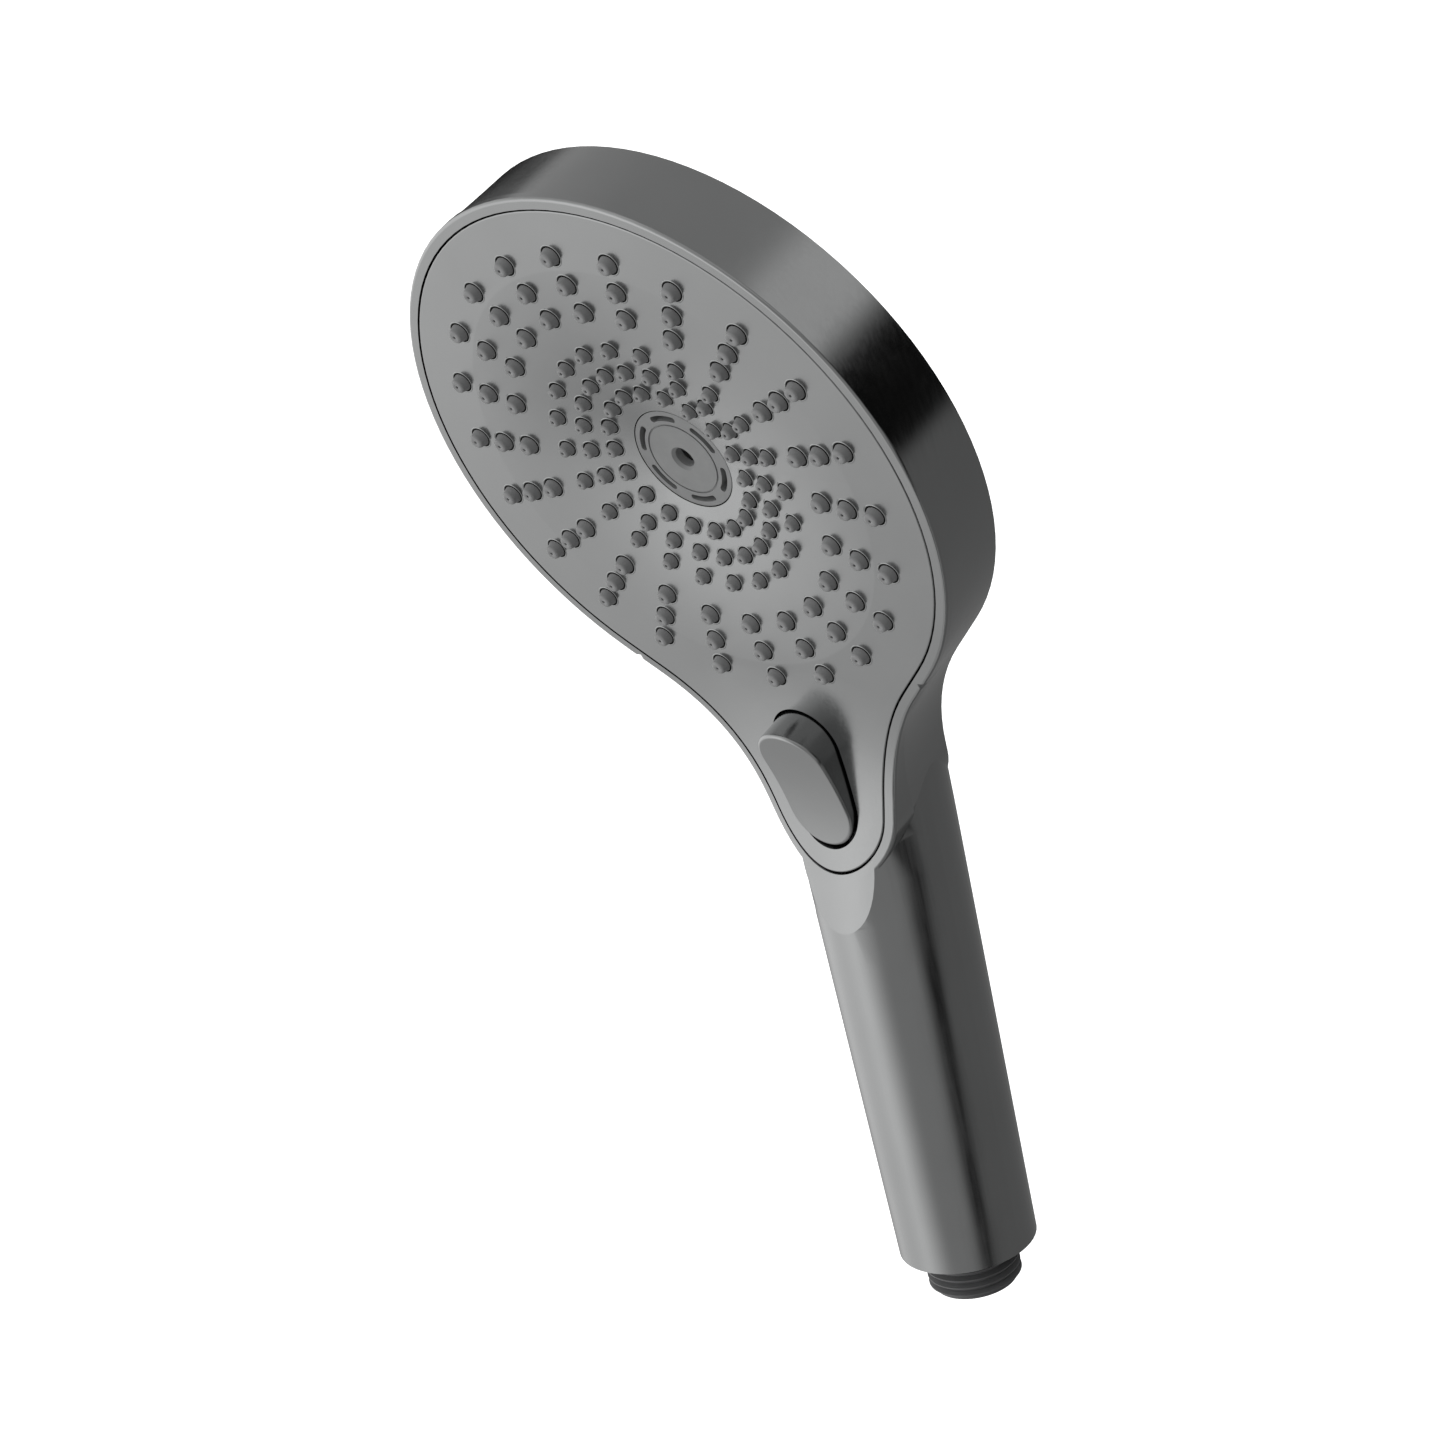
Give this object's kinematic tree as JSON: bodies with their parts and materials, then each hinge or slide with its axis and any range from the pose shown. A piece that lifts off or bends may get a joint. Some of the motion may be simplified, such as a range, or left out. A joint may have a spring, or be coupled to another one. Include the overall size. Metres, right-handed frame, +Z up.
{
  "type": "handheld shower head",
  "caption": "Handheld shower head with a dished round spray face, a keyhole-shaped front, a hinged spray selector button and a threaded hose connector.",
  "frame": {"origin": "on the handle's axis at the open end of the hose thread", "axes": "+Z up along the handle; the spray face looks towards -Y and downwards; +X to the right of someone holding it"},
  "size_m": [0.13, 0.073, 0.2679],
  "materials": {
    "black_chrome": "dark satin chrome plating over ABS",
    "silicone": "matte",
    "grey_plastic": "matte",
    "inner_plastic": "matte",
    "white_plastic": "satin",
    "dark_plastic": "matte",
    "steel": "satin",
    "seal_rubber": "matte"
  },
  "bodies": {
    "housing": {"body_shell": "black_chrome", "face_plate": "black_chrome", "outer_nozzle_mat": "silicone", "inner_nozzle_mat": "silicone", "centre_jet_insert": "grey_plastic", "chamber_plate": "inner_plastic", "channel_plate": "inner_plastic", "plate_screw": "steel", "chamber_port_seal": "seal_rubber", "outlet_port_seal": "seal_rubber", "button_pivot_pin": "steel", "button_spring": "steel", "valve_housing": "inner_plastic", "valve_cap": "inner_plastic", "water_tube": "inner_plastic", "tube_seal": "seal_rubber", "inlet_connector": "dark_plastic", "retaining_ring": "steel", "filter_screen": "steel", "flow_regulator": "white_plastic"},
    "button": {"selector_button": "black_chrome", "pawl_arm": "grey_plastic"},
    "barrel": {"valve_barrel": "white_plastic", "barrel_seal": "seal_rubber", "ratchet_wheel": "white_plastic"}
  },
  "joints": [
    {"name": "button_press", "type": "hinge", "parent": "housing", "child": "button", "pos_m": [0, -0.0092, 0.11688], "axis": [-1, 0, 0], "range_deg": [0, 8], "stiffness_Nm_per_rad": 0.8, "deforming": ["button_spring"]},
    {"name": "barrel_turn", "type": "hinge", "parent": "housing", "child": "barrel", "pos_m": [0, 0, 0.13], "axis": [0, 1, 0], "range_deg": [0, 40]}
  ],
  "couplings": [
    {"joint": "barrel_turn", "follows": "button_press", "ratio": 5}
  ]
}
